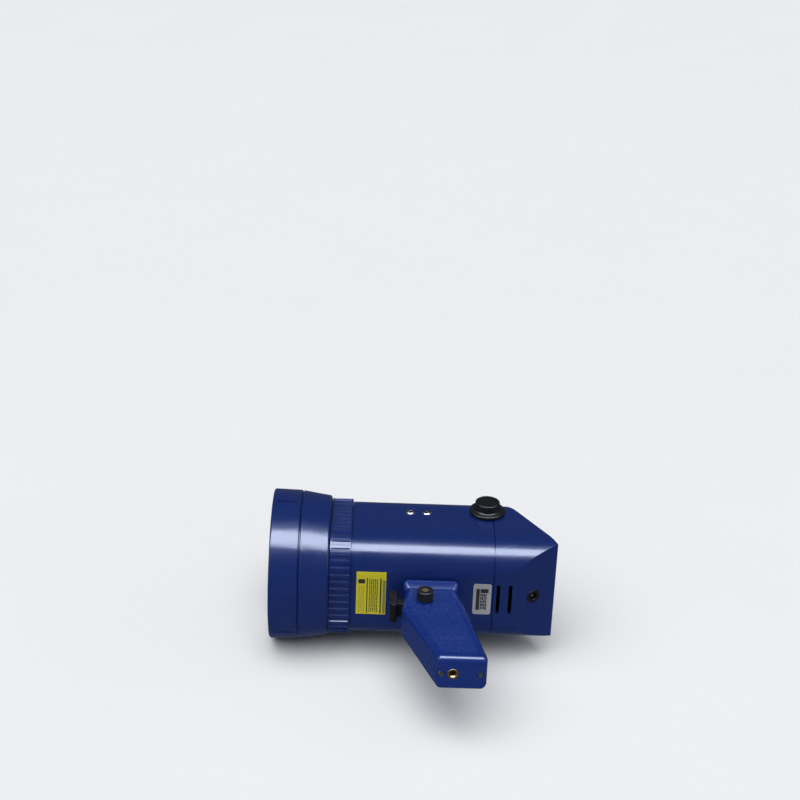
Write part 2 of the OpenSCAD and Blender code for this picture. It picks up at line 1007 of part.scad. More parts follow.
// coil spring between the tail and the switch
module trigger_spring() {
    turns = 4;
    steps = 14;
    sides = 6;
    wire = 0.3;
    coil = 1.8;
    length = trigger_travel + 4.6;
    rings = turns * steps;
    function spine(i) = [
        tail_x - 4 + wire + (length - 2 * wire) * i / rings,
        (tail_top + tail_low) / 2 + coil * cos(360 * i / steps),
        coil * sin(360 * i / steps)];
    points = [for (i = [0:rings])
        for (j = [0:sides - 1])
            spine(i) + wire * (cos(360 * j / sides) * [1, 0, 0]
                + sin(360 * j / sides) * [0, cos(360 * i / steps), sin(360 * i / steps)])];
    walls = [for (i = [0:rings - 1])
        for (j = [0:sides - 1])
            [i * sides + j, i * sides + (j + 1) % sides,
                (i + 1) * sides + (j + 1) % sides, (i + 1) * sides + j]];
    color("silver")
        polyhedron(points = points, faces = concat(
            [[for (j = [sides - 1:-1:0]) j]], walls,
            [[for (j = [0:sides - 1]) rings * sides + j]]));
}

module trigger_switch() {
    mid = (tail_top + tail_low) / 2;
    stop = tail_x + trigger_travel;
    color([0.15, 0.15, 0.15]) {
        block([stop + 1.6, mid - 2.9, -6.4], [stop + 8, mid + 2.9, 6.4]);
        block([stop + 0.5, mid - 1, 3.4], [stop + 1.7, mid + 1, 5.4]);
    }
}

module lock_knob() {
    foot = 0.4;
    h = 8.4;
    color([0.05, 0.05, 0.06])
        translate([lock_x, lock_y, grip_z + foot])
            difference() {
                rotate_extrude()
                    polygon(concat(
                        [[0, 0], [lock_r - 0.5, 0], [lock_r, 0.5]],
                        arc(lock_r - 1, h - 1, 1, 0, 90, 5), [[0, h]]));
                for (i = [0:15])
                    rotate([0, 0, 22.5 * i])
                        translate([lock_r + 0.3, 0, 1.4])
                            cylinder(r = 0.6, h = 10, $fn = 16);
                translate([0, 0, -1])
                    cylinder(r = 2.8, h = 20);
            }
}

module lock_shaft() {
    color("gold")
        translate([lock_x, lock_y, 0]) {
            translate([0, 0, 1.5])
                cylinder(r = lock_pin_r, h = grip_z - 1);
            translate([0, 0, grip_z + 0.4])
                cylinder(r = 2.78, h = 8.1);
        }
}

module lock_cam() {
    color("gold")
        translate([lock_x, lock_y, 4])
            difference() {
                translate([0.8, 0, 0])
                    cylinder(r = 3.9, h = 4.5);
                translate([0, 0, -1])
                    cylinder(r = lock_pin_r, h = 20);
            }
}

// ---- power ----

module cell(x, y) {
    translate([x, y, 0])
        rotate([0, 0, cell_lean])
            rotate([90, 0, 0]) {
                cylinder(r = cell_r, h = cell_l - 1);
                translate([0, 0, cell_l - 1])
                    cylinder(r = 2.6, h = 1);
            }
}

// top ends of the cells: three in the rear row and two in the front row
function cell_top(top, row) =
    [top[0] + row * cell_step * sin(cell_lean), top[1] - row * cell_step * cos(cell_lean)];

cell_spots = concat(
    [for (row = [0:2]) cell_top(rear_cells, row)],
    [for (row = [0:1]) cell_top(front_cells, row)]);

module battery_cells() {
    color("seagreen")
        for (s = cell_spots)
            cell(s[0], s[1]);
}

module battery_contacts() {
    color("silver")
        for (i = [0, 3])
            translate([cell_spots[i][0], cell_spots[i][1], 0])
                rotate([0, 0, cell_lean])
                    block([-5, 0.05, -5], [5, 0.35, 5]);
}

module power_board() {
    color("darkgreen") difference() {
        union() {
            block([deck_x, deck_y, -deck_half], [deck_x + deck_l, deck_y + deck_t, deck_half]);
            for (x = [66, 74])
                block([deck_x + x, deck_y + deck_t - 0.02, 10], [deck_x + x + 6, deck_y + deck_t + 4, 16]);
        }
        for (p = post_spots)
            rod_down(p[0], deck_y + 5, p[1], 1.6, 10);
    }
}

module board_screws() {
    color("silver")
        for (p = post_spots) {
            rod_down(p[0], deck_y + deck_t + 1.9, p[1], 2.8, 1.85);
            rod_down(p[0], deck_y + deck_t + 0.1, p[1], 1.2, 9);
        }
}

can_r = 15;
can_l = 58;
can_y = deck_y + deck_t + can_r + 0.3;
can_z = -17;
clip_x = deck_x + 40;
clip_l = 8;

module flash_capacitor() {
    color("black") {
        rod_x(deck_x + 14, can_y, can_z, can_r, can_l);
        for (z = [can_z - 5, can_z + 5])
            rod_x(deck_x + 10.5, can_y, z, 1, 4);
    }
}

module capacitor_clip() {
    color("silver") difference() {
        union() {
            rod_x(clip_x, can_y, can_z, can_r + 1, clip_l);
            block([clip_x, deck_y + deck_t + 0.02, can_z - 17.5],
                [clip_x + clip_l, deck_y + deck_t + 1.2, can_z + 17.5]);
        }
        rod_x(clip_x - 10, can_y, can_z, can_r + 0.05, clip_l + 20);
        block([clip_x - 10, deck_y - 40, -big], [clip_x + clip_l + 10, deck_y + deck_t + 0.02, big]);
    }
}

module transformer() {
    x = deck_x + 20;
    y = deck_y + deck_t + 0.05;
    color("sienna") {
        block([x, y, 6], [x + 24, y + 4, 32]);
        block([x + 3, y + 3.9, 9], [x + 21, y + 18, 29]);
        block([x, y + 17.9, 6], [x + 24, y + 22, 32]);
    }
}

coil_x = deck_x + 4;
coil_y = 14;
coil_z = 20;

module trigger_coil() {
    color("goldenrod") {
        for (x = [coil_x, coil_x + 15])
            rod_x(x, coil_y, coil_z, 6.5, 3);
        rod_x(coil_x + 2.9, coil_y, coil_z, 4.5, 12.2);
    }
}

module lamp_leads() {
    color("red")
        for (p = [[-4, 3], [4, 3], [0, -5]])
            rod_x(socket_x + 9.55, p[0], p[1], 0.7, deck_x - socket_x - 6);
}

place() front_bezel();
place() lens();
place() lens_gasket();
place() reflector();
place() flash_tube();
place() tube_socket();
place() lamp_housing();
place() vent_collar();
place() head_screws();
place() main_housing();
place() rear_cap();
place() cap_screws();
place() display_panel();
place() display_window();
place() lcd_module();
place() keypad_mat();
place() key_up();
place() key_down();
place() key_left();
place() key_right();
place() key_set();
place() main_board();
place() panel_screws();
place() control_knob();
place() knob_cap();
place() encoder_shaft();
place() encoder_body();
place() encoder_nut();
place() input_jack();
place() output_jack();
place() charge_jack();
place() charge_pin();
place() rating_label();
place() caution_sticker();
place() grip_left();
place() grip_right();
place() grip_saddle();
place() saddle_plate();
place() saddle_bolts();
place() grip_base();
place() base_screws();
place() tripod_bush();
place() grip_screws();
place() trigger();
place() trigger_spring();
place() trigger_switch();
place() lock_knob();
place() lock_shaft();
place() lock_cam();
place() battery_cells();
place() battery_contacts();
place() power_board();
place() board_screws();
place() flash_capacitor();
place() capacitor_clip();
place() transformer();
place() trigger_coil();
place() lamp_leads();
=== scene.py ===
"""Looks of the pistol-grip timing light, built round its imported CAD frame.

Lengths inside the pieces are in millimetres along the tool's own axes: x from the lamp's rim to the rear,
y from the grip to the top of the tool, z out of its left side. tool() turns them into the frame's metres.
"""
import json
import math

import bmesh
import bpy
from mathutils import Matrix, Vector


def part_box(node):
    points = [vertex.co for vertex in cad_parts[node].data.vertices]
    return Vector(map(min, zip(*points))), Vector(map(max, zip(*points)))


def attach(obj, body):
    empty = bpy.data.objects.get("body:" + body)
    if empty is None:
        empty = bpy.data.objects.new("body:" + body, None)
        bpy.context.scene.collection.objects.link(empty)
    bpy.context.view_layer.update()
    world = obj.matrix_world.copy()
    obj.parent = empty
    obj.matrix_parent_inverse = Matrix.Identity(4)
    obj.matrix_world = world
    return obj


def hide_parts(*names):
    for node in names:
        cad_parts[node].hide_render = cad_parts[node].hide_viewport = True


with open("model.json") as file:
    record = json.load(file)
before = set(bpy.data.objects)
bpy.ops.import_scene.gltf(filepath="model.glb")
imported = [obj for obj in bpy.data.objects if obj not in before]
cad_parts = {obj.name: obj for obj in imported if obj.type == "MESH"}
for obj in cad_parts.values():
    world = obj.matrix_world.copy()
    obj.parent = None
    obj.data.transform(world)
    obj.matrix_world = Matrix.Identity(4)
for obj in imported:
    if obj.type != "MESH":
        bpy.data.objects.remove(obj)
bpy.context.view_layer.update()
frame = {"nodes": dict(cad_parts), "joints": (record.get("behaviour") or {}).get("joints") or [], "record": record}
scene = bpy.context.scene
MM = 0.001

# ---- the tool's own axes, found from the frame ----

rim_low, rim_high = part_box("front_bezel")
ORIGIN = Vector((rim_low.x, (rim_low.y + rim_high.y) / 2, (rim_low.z + rim_high.z) / 2))


def tool(x, y, z):
    """A point given in millimetres along the tool's axes, in the frame's metres."""
    return ORIGIN + Vector((x, y, z)) * MM


def points(node):
    """The vertices of a CAD node in millimetres along the tool's axes."""
    return [(v.co - ORIGIN) / MM for v in frame["nodes"][node].data.vertices]


def span(node):
    """Lowest and highest corner of a CAD node in millimetres along the tool's axes."""
    low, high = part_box(node)
    return (low - ORIGIN) / MM, (high - ORIGIN) / MM


def centre(node):
    """Middle of a CAD node's box in millimetres along the tool's axes."""
    low, high = span(node)
    return (low + high) / 2


def solids(node):
    """The separate solids of a CAD node, each as a list of points, in order along x and y."""
    microns = 1e6
    mesh = frame["nodes"][node].data
    keys = [tuple(round(c * microns) for c in v.co) for v in mesh.vertices]
    group = {k: k for k in keys}

    def root(k):
        while group[k] != k:
            group[k] = group[group[k]]
            k = group[k]
        return k

    for polygon in mesh.polygons:
        first = root(keys[polygon.vertices[0]])
        for v in polygon.vertices[1:]:
            group[root(keys[v])] = first
    found = {}
    for k, p in zip(keys, points(node)):
        found.setdefault(root(k), []).append(p)
    return sorted(found.values(), key=lambda part: (round(min(p.x for p in part)), min(p.y for p in part)))


# display face: out of the face, up along it, and towards the tool's left side
press = next(j for j in frame["joints"] if j["name"] == "key_set_press")
FACE_OUT = -Vector(press["axis"])
FACE_UP = Vector((-FACE_OUT.y, FACE_OUT.x, 0))
TIP = max(points("rear_cap"), key=lambda p: p.x)
TIP.z = 0


def on_face(out, up, left):
    """A point given in the display face's own axes, measured from the tip, along the tool's axes."""
    return TIP + FACE_OUT * out + FACE_UP * up + Vector((0, 0, left))


def face_coords(p):
    """The way back: a point along the tool's axes in the display face's own axes."""
    d = p - TIP
    return Vector((d.dot(FACE_OUT), d.dot(FACE_UP), p.z))


# ---- camera, floor and lights ----

CAMERA_PLACE = (82.0, -1213.3, 722.4)
CAMERA_TURN = (64.78, -2.05, 0.15)
LENS_MM = 76.91
SENSOR_MM = 36
LIT_PLACE = (115, 0, 0)
SKY_COLOUR = (0.72, 0.84, 1, 1)
SKY_STRENGTH = 0.11
FLOOR_SIZE = 30


def add_camera():
    """The viewing angle of a picture taken from in front of the grip and above the tool."""
    data = bpy.data.cameras.new("camera")
    camera = bpy.data.objects.new("camera", data)
    scene.collection.objects.link(camera)
    camera.location = tool(*CAMERA_PLACE)
    camera.rotation_euler = [math.radians(a) for a in CAMERA_TURN]
    data.sensor_width = SENSOR_MM
    data.lens = LENS_MM
    data.clip_start = 0.05
    data.clip_end = 30
    scene.camera = camera


def towards(elevation, azimuth):
    """Direction in degrees above the floor and round from the grip's side to the rear."""
    e, a = math.radians(elevation), math.radians(azimuth)
    return Vector((math.sin(a) * math.cos(e), -math.cos(a) * math.cos(e), math.sin(e)))


def aim(light, away, distance):
    """Puts a light at a distance in metres from the tool's middle and turns it towards it."""
    light.location = tool(*LIT_PLACE) + away * distance
    light.rotation_mode = "QUATERNION"
    light.rotation_quaternion = away.to_track_quat("Z", "Y")


def add_card(name, elevation, azimuth, distance, size, radiance, colour=(1, 1, 1)):
    """A bright card that only shows in reflections."""
    data = bpy.data.lights.new(name, "AREA")
    data.shape = "RECTANGLE"
    data.size, data.size_y = size
    data.energy = radiance * math.pi * size[0] * size[1]
    data.color = colour
    light = bpy.data.objects.new(name, data)
    scene.collection.objects.link(light)
    aim(light, towards(elevation, azimuth), distance)
    light.visible_camera = False
    light.visible_diffuse = False


def add_soft_light(name, elevation, azimuth, strength, spread):
    """Even soft light from a wide part of the ceiling, without a reflection of its own."""
    data = bpy.data.lights.new(name, "SUN")
    data.energy = strength
    data.angle = math.radians(spread)
    light = bpy.data.objects.new(name, data)
    scene.collection.objects.link(light)
    aim(light, towards(elevation, azimuth), distance=3)
    light.visible_glossy = False


def add_stage(finish):
    bpy.ops.mesh.primitive_plane_add(size=FLOOR_SIZE, location=(0, 0, 0))
    floor = bpy.context.object
    floor.name = "floor"
    floor.data.materials.append(finish)
    floor.visible_glossy = False
    world = bpy.data.worlds.new("studio")
    scene.world = world
    world.use_nodes = True
    back = world.node_tree.nodes["Background"]
    back.inputs["Color"].default_value = SKY_COLOUR
    back.inputs["Strength"].default_value = SKY_STRENGTH
    add_soft_light("ceiling", elevation=66, azimuth=-32, strength=2.75, spread=70)
    add_soft_light("fill", elevation=50, azimuth=60, strength=0.75, spread=90)
    long_card, tall_card = (2.4, 0.55), (0.9, 1.1)
    add_card("strip", elevation=68, azimuth=0, distance=1.25, size=long_card, radiance=17,
             colour=(0.80, 0.87, 1))
    add_card("halo", elevation=84, azimuth=0, distance=1.25, size=(2.4, 0.36), radiance=1.5,
             colour=(0.7, 0.85, 1))
    add_card("side_card", elevation=18, azimuth=-70, distance=1.6, size=tall_card, radiance=1.2)
    add_card("rear_card", elevation=25, azimuth=75, distance=1.6, size=tall_card, radiance=1.0)
    scene.view_settings.view_transform = "Standard"


# ---- materials ----

class Nodes:
    """A material's node tree, with short calls for the nodes used here."""

    def __init__(self, name):
        self.material = bpy.data.materials.new(name)
        self.material.use_nodes = True
        self.tree = self.material.node_tree
        self.shader = self.tree.nodes["Principled BSDF"]
        self.place = self.add("ShaderNodeTexCoord").outputs["Object"]

    def add(self, kind, **settings):
        node = self.tree.nodes.new(kind)
        for key, value in settings.items():
            setattr(node, key, value)
        return node

    def join(self, source, target):
        self.tree.links.new(source, target)

    def put(self, socket, value):
        """Sets a socket to a number or colour, or links it to another socket."""
        if isinstance(value, bpy.types.NodeSocket):
            self.join(value, socket)
        else:
            socket.default_value = value

    def stretched(self, scale):
        mapping = self.add("ShaderNodeMapping")
        self.join(self.place, mapping.inputs["Vector"])
        mapping.inputs["Scale"].default_value = scale
        return mapping.outputs["Vector"]

    def noise(self, scale, detail=2, roughness=0.5, stretch=None):
        node = self.add("ShaderNodeTexNoise")
        self.join(self.stretched(stretch) if stretch else self.place, node.inputs["Vector"])
        node.inputs["Scale"].default_value = scale
        node.inputs["Detail"].default_value = detail
        node.inputs["Roughness"].default_value = roughness
        return node.outputs["Fac"]

    def cells(self, scale):
        node = self.add("ShaderNodeTexVoronoi")
        self.join(self.place, node.inputs["Vector"])
        node.inputs["Scale"].default_value = scale
        return node.outputs["Distance"]

    def ramp(self, value, low, high, out_low=0.0, out_high=1.0):
        node = self.add("ShaderNodeMapRange")
        self.put(node.inputs["Value"], value)
        node.inputs["From Min"].default_value = low
        node.inputs["From Max"].default_value = high
        node.inputs["To Min"].default_value = out_low
        node.inputs["To Max"].default_value = out_high
        return node.outputs["Result"]

    def math(self, operation, a, b=0.0):
        node = self.add("ShaderNodeMath", operation=operation)
        self.put(node.inputs[0], a)
        self.put(node.inputs[1], b)
        return node.outputs[0]

    def blend(self, factor, a, b):
        node = self.add("ShaderNodeMix", data_type="RGBA")
        self.put(node.inputs["Factor"], factor)
        self.put(node.inputs[6], a)
        self.put(node.inputs[7], b)
        return node.outputs[2]

    def bump(self, height, distance, before=None):
        node = self.add("ShaderNodeBump")
        node.inputs["Distance"].default_value = distance
        self.join(height, node.inputs["Height"])
        if before is not None:
            self.join(before, node.inputs["Normal"])
        return node.outputs["Normal"]

    def edges(self, radius):
        """About 0 on flat ground and towards 1 on edges that hands and cases rub."""
        flat, rubbed = 0.995, 0.9
        bevel = self.add("ShaderNodeBevel", samples=4)
        bevel.inputs["Radius"].default_value = radius
        dot = self.add("ShaderNodeVectorMath", operation="DOT_PRODUCT")
        self.join(bevel.outputs["Normal"], dot.inputs[0])
        self.join(self.add("ShaderNodeNewGeometry").outputs["Normal"], dot.inputs[1])
        return self.ramp(dot.outputs["Value"], flat, rubbed)

    def finish(self, colour, roughness, normal=None, **sockets):
        self.put(self.shader.inputs["Base Color"], colour)
        self.put(self.shader.inputs["Roughness"], roughness)
        if normal is not None:
            self.join(normal, self.shader.inputs["Normal"])
        for key, value in sockets.items():
            self.put(self.shader.inputs[key.replace("_", " ")], value)
        return self.material


def shade(colour, factor):
    return tuple(c * factor for c in colour[:3]) + (1,)


def paint(name, colour, roughness):
    """Matt backdrop paint with a faint roller texture."""
    n = Nodes(name)
    tint = n.blend(n.noise(6, 3), shade(colour, 0.985), shade(colour, 1.01))
    rough = n.ramp(n.noise(90, 3), 0.3, 0.7, roughness - 0.05, roughness + 0.05)
    return n.finish(tint, rough, Specular_IOR_Level=0.1)


def moulding(name, colour, roughness, grain, depth):
    """Coloured hard moulding: flow mottling, fine skin, hairline scratches, rubbed edges, lint."""
    n = Nodes(name)
    mottle = n.blend(n.noise(28, 3), shade(colour, 0.94), shade(colour, 1.06))
    scratches = n.ramp(n.noise(20, 5, 0.7, stretch=(3, 160, 120)), 0.70, 0.76)
    rubbed = n.math("MULTIPLY", n.edges(0.0006), n.ramp(n.noise(260, 4), 0.42, 0.62))
    worn = n.blend(n.math("MULTIPLY", rubbed, 0.4), mottle, shade(colour, 2.0))
    specks = n.ramp(n.cells(420), 0.075, 0.03)
    lint = n.math("MULTIPLY", specks, n.ramp(n.noise(40, 2), 0.54, 0.62, 0, 0.22))
    tint = n.blend(lint, worn, (0.26, 0.28, 0.33, 1))
    cloud = n.ramp(n.noise(55, 4, 0.6), 0.3, 0.7, roughness - 0.03, roughness + 0.03)
    rough = n.math("ADD", cloud, n.math("MULTIPLY", scratches, 0.08))
    skin = n.bump(n.noise(grain, 2), depth)
    scored = n.bump(scratches, 0.000004, skin)
    return n.finish(tint, rough, scored, IOR=1.5)


def black_moulding(name, colour, roughness):
    """Black moulding with a spark-eroded grain and shiny handled edges."""
    n = Nodes(name)
    tint = n.blend(n.noise(60, 3), shade(colour, 0.8), shade(colour, 1.25))
    edge = n.edges(0.0006)
    tint = n.blend(n.math("MULTIPLY", edge, 0.3), tint, shade(colour, 2.6))
    rough = n.math("SUBTRACT", n.ramp(n.noise(300, 4), 0.3, 0.7, roughness - 0.06, roughness + 0.06),
                   n.math("MULTIPLY", edge, 0.12))
    return n.finish(tint, rough, n.bump(n.cells(2300), 0.00002), IOR=1.46)


def gloss_black(name, colour):
    """Polished black panel with fingerprints and dust."""
    n = Nodes(name)
    smears = n.ramp(n.noise(38, 6, 0.7), 0.5, 0.66)
    rough = n.math("ADD", 0.07, n.math("MULTIPLY", smears, 0.17))
    dust = n.ramp(n.cells(900), 0.05, 0.02, 0, 0.2)
    tint = n.blend(dust, n.blend(smears, shade(colour, 1), shade(colour, 1.5)), (0.3, 0.3, 0.3, 1))
    return n.finish(tint, rough, n.bump(n.noise(500, 2), 0.000003), IOR=1.49)


def rubber(name, colour):
    n = Nodes(name)
    tint = n.blend(n.noise(120, 4), shade(colour, 0.75), shade(colour, 1.2))
    rough = n.ramp(n.noise(400, 4), 0.3, 0.7, 0.55, 0.72)
    return n.finish(tint, rough, n.bump(n.noise(2600, 2), 0.00002), IOR=1.45)


def metal(name, colour, roughness, stretch, depth=0.000004):
    """Bare or plated metal, brushed or turned along the direction that stretch leaves long."""
    n = Nodes(name)
    lines = n.noise(40, 5, 0.7, stretch=stretch)
    stain = n.noise(70, 4, 0.6)
    tint = n.blend(stain, shade(colour, 0.8), shade(colour, 1.05))
    rough = n.math("ADD", n.ramp(lines, 0.3, 0.7, roughness - 0.05, roughness + 0.07),
                   n.ramp(stain, 0.45, 0.75, 0, 0.08))
    return n.finish(tint, rough, n.bump(lines, depth), Metallic=1.0)


def clear(name, colour, roughness, ior, ripple):
    """Transparent lens or tube with faint moulding ripple and dust."""
    n = Nodes(name)
    dust = n.ramp(n.cells(700), 0.06, 0.02, 0, 0.08)
    rough = n.math("ADD", n.ramp(n.noise(50, 4), 0.4, 0.7, roughness, roughness + 0.03), dust)
    tint = n.blend(n.noise(20, 2), shade(colour, 0.98), shade(colour, 1))
    return n.finish(tint, rough, n.bump(n.noise(180, 2), ripple), IOR=ior, Transmission_Weight=1.0)


def film(name, colour, roughness):
    """Printed foil or plastic film with faint wrinkles and scuffs."""
    n = Nodes(name)
    scuffs = n.ramp(n.noise(55, 6, 0.75, stretch=(1, 1, 4)), 0.55, 0.7)
    base = n.blend(n.noise(90, 3), shade(colour, 0.93), shade(colour, 1.05))
    tint = n.blend(n.math("MULTIPLY", scuffs, 0.3), base, shade(colour, 0.72))
    rough = n.math("ADD", roughness, n.math("MULTIPLY", scuffs, 0.2))
    return n.finish(tint, rough, n.bump(n.noise(130, 3), 0.00006), IOR=1.45)


def ink(name, colour):
    n = Nodes(name)
    tint = n.blend(n.ramp(n.noise(1500, 4), 0.35, 0.6), shade(colour, 0.8), shade(colour, 1.4))
    rough = n.ramp(n.noise(200, 3), 0.3, 0.7, 0.4, 0.55)
    return n.finish(tint, rough, n.bump(n.noise(2500, 2), 0.000004))


def board(name, colour):
    """Circuit board: solder mask with tracks that shine through it."""
    n = Nodes(name)
    brick = n.add("ShaderNodeTexBrick")
    n.join(n.stretched((1, 1, 1)), brick.inputs["Vector"])
    brick.inputs["Scale"].default_value = 130
    brick.inputs["Color1"].default_value = shade(colour, 1)
    brick.inputs["Color2"].default_value = shade(colour, 0.8)
    brick.inputs["Mortar"].default_value = shade(colour, 1.7)
    brick.inputs["Mortar Size"].default_value = 0.03
    tint = n.blend(n.ramp(n.noise(300, 3), 0.4, 0.7, 0, 0.4), brick.outputs["Color"], shade(colour, 0.7))
    rough = n.ramp(n.noise(90, 3), 0.3, 0.7, 0.22, 0.34)
    return n.finish(tint, rough, n.bump(brick.outputs["Fac"], 0.00003))


def winding(name, colour):
    """Enamelled copper wire wound side by side."""
    n = Nodes(name)
    wave = n.add("ShaderNodeTexWave", bands_direction="X")
    n.join(n.place, wave.inputs["Vector"])
    wave.inputs["Scale"].default_value = 900
    # darker in the grooves between the turns and lighter on their crowns: painted shade and painted highlight
    tint = n.blend(wave.outputs["Fac"], shade(colour, 0.5), shade(colour, 1.2))
    rough = n.ramp(n.noise(200, 3), 0.3, 0.7, 0.25, 0.4)
    return n.finish(tint, rough, n.bump(wave.outputs["Fac"], 0.0001), Metallic=0.85)


def ceramic(name, colour):
    n = Nodes(name)
    tint = n.blend(n.noise(150, 4), shade(colour, 0.92), shade(colour, 1.03))
    return n.finish(tint, n.ramp(n.noise(300, 3), 0.3, 0.7, 0.3, 0.42), n.bump(n.noise(900, 2), 0.00001))


def lcd_glass(name, colour):
    """Unlit liquid crystal behind its polariser, with a faint grain."""
    n = Nodes(name)
    tint = n.blend(n.noise(900, 2), shade(colour, 0.95), shade(colour, 1.05))
    return n.finish(tint, n.ramp(n.noise(60, 3), 0.3, 0.7, 0.2, 0.28), n.bump(n.noise(3000, 1), 0.000002))


BARREL_BLUE = (0.0056, 0.0190, 0.116)
GRIP_BLUE = (0.0022, 0.0205, 0.160)


def make_materials():
    """One finish per material slot of the record, and the extra ones that only scene pieces use."""
    return {
        "blue_moulding": moulding("blue_moulding", BARREL_BLUE, roughness=0.2, grain=850, depth=0.000008),
        "blue_grip": moulding("blue_grip", GRIP_BLUE, roughness=0.26, grain=1900, depth=0.000015),
        "black_plastic": black_moulding("black_plastic", (0.0045, 0.0045, 0.005), roughness=0.38),
        "black_panel": gloss_black("black_panel", (0.008, 0.008, 0.010)),
        "key_rubber": rubber("key_rubber", (0.06, 0.062, 0.068)),
        "clear_lens": clear("clear_lens", (0.97, 0.985, 1.0), roughness=0.01, ior=1.49, ripple=0.00001),
        "window_glass": clear("window_glass", (0.9, 0.95, 0.93), roughness=0.02, ior=1.49, ripple=0.000002),
        "flash_glass": clear("flash_glass", (0.98, 0.98, 1.0), roughness=0.01, ior=1.46, ripple=0.00001),
        "mirror_dish": metal("mirror_dish", (0.86, 0.87, 0.88), roughness=0.07, stretch=(1, 8, 8),
                             depth=0.000001),
        "nickel": metal("nickel", (0.80, 0.79, 0.76), roughness=0.22, stretch=(30, 30, 2)),
        "steel": metal("steel", (0.50, 0.50, 0.51), roughness=0.32, stretch=(8, 40, 8)),
        "brass": metal("brass", (0.52, 0.38, 0.17), roughness=0.34, stretch=(20, 20, 3)),
        "ceramic": ceramic("ceramic", (0.84, 0.82, 0.76)),
        "black_seal": rubber("black_seal", (0.02, 0.02, 0.02)),
        "knob_grey": black_moulding("knob_grey", (0.004, 0.004, 0.0043), roughness=0.3),
        # label grey set below its own silver for the shade on the barrel's underside: partly its own colour,
        # partly painted shade
        "label_silver": film("label_silver", (0.31, 0.31, 0.335), roughness=0.34),
        "sticker_yellow": film("sticker_yellow", (0.52, 0.46, 0.005), roughness=0.36),
        "board_green": board("board_green", (0.015, 0.13, 0.05)),
        "component_black": black_moulding("component_black", (0.02, 0.02, 0.022), roughness=0.45),
        "cell_sleeve": film("cell_sleeve", (0.04, 0.26, 0.13), roughness=0.3),
        "copper_winding": winding("copper_winding", (0.55, 0.24, 0.08)),
        "lead_red": rubber("lead_red", (0.45, 0.03, 0.025)),
        "print_black": ink("print_black", (0.014, 0.014, 0.016)),
        "print_olive": ink("print_olive", (0.15, 0.16, 0.03)),
        "print_white": ink("print_white", (0.58, 0.58, 0.58)),
        "lcd": lcd_glass("lcd", (0.21, 0.245, 0.19)),
        "lcd_segment": lcd_glass("lcd_segment", (0.150, 0.176, 0.138)),
    }


# ---- CAD nodes that stay: rounded edges and finishes ----

EDGE_MM = {
    "front_bezel": 0.35, "lamp_housing": 0.35, "vent_collar": 0.25, "main_housing": 0.4, "rear_cap": 0.7,
    "display_panel": 0.35, "display_window": 0.2, "control_knob": 0.22, "knob_cap": 0.2, "trigger": 0.9,
    "grip_left": 0.3, "grip_right": 0.3, "grip_saddle": 0.4, "grip_base": 0.3, "lock_knob": 0.25,
    "lock_shaft": 0.3, "charge_jack": 0.25, "input_jack": 0.12, "output_jack": 0.12, "rating_label": 0.06,
    "caution_sticker": 0.06,
}


def soften(node, width):
    """Rounds a CAD node's sharp edges by modifiers, which leave its own mesh as it is."""
    weld_reach, level_within, sharp_from, face_weight = 0.000004, 0.4, 32, 80
    weld = node.modifiers.new("weld", "WELD")
    weld.merge_threshold = weld_reach
    flat = node.modifiers.new("flat", "DECIMATE")
    flat.decimate_type = "DISSOLVE"
    flat.angle_limit = math.radians(level_within)
    bevel = node.modifiers.new("round", "BEVEL")
    bevel.width = width * MM
    bevel.segments = 3
    bevel.limit_method = "ANGLE"
    bevel.angle_limit = math.radians(sharp_from)
    bevel.use_clamp_overlap = True
    even = node.modifiers.new("even", "WEIGHTED_NORMAL")
    even.keep_sharp = False
    even.weight = face_weight


def dress_cad():
    """Gives every CAD node the finish of its slot in the record, and rounds the edges of some."""
    slots = {s["node"]: s["material_slot"] for s in frame["record"]["subparts"]}
    for name, node in frame["nodes"].items():
        node.data.materials.clear()
        node.data.materials.append(finishes[slots[name]])
        if name in EDGE_MM:
            soften(node, EDGE_MM[name])


# ---- building pieces ----

# a direction that no wire here runs along
OFF_AXIS = Vector((0.31, 0.17, 0.93))


def add_piece(name, bm, slot, body="tool", finish=None, replaces=None, smooth=35):
    """Turns a bmesh in tool millimetres into an object that rides on a CAD body."""
    for v in bm.verts:
        v.co = tool(*v.co)
    bmesh.ops.recalc_face_normals(bm, faces=bm.faces)
    mesh = bpy.data.meshes.new(name)
    bm.to_mesh(mesh)
    bm.free()
    mesh.polygons.foreach_set("use_smooth", [True] * len(mesh.polygons))
    mesh.set_sharp_from_angle(angle=math.radians(smooth))
    piece = bpy.data.objects.new(name, mesh)
    scene.collection.objects.link(piece)
    mesh.materials.append(finishes[finish or slot])
    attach(piece, body)
    if replaces:
        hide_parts(replaces)
    return piece


def round_off(piece, width):
    """Rounds a scene piece's sharp edges by a modifier."""
    bevel = piece.modifiers.new("round", "BEVEL")
    bevel.width = width * MM
    bevel.segments = 2
    bevel.limit_method = "ANGLE"
    bevel.angle_limit = math.radians(30)


def add_loops(bm, loops, closed=False):
    """Walls between rings of points, all with the same count; ends are capped unless closed."""
    rings = [[bm.verts.new(p) for p in loop] for loop in loops]
    pairs = list(zip(rings, rings[1:]))
    if closed:
        pairs.append((rings[-1], rings[0]))
    for a, b in pairs:
        for i in range(len(a)):
            j = (i + 1) % len(a)
            bm.faces.new((a[i], a[j], b[j], b[i]))
    if not closed:
        bm.faces.new(list(reversed(rings[0])))
        bm.faces.new(rings[-1])


def circle(radius, count):
    """Points of a circle as pairs, counter-clockwise."""
    return [(radius * math.cos(math.tau * i / count), radius * math.sin(math.tau * i / count))
            for i in range(count)]


def add_turned(bm, profile, at, count):
    """Solid of revolution: profile pairs of radius and height, at(u, v, w) places them."""
    add_loops(bm, [[at(u, v, w) for u, v in circle(r, count)] for r, w in profile])


def add_prism(bm, outline, low, high, at):
    """Flat outline between two heights."""
    add_loops(bm, [[at(u, v, w) for u, v in outline] for w in (low, high)])


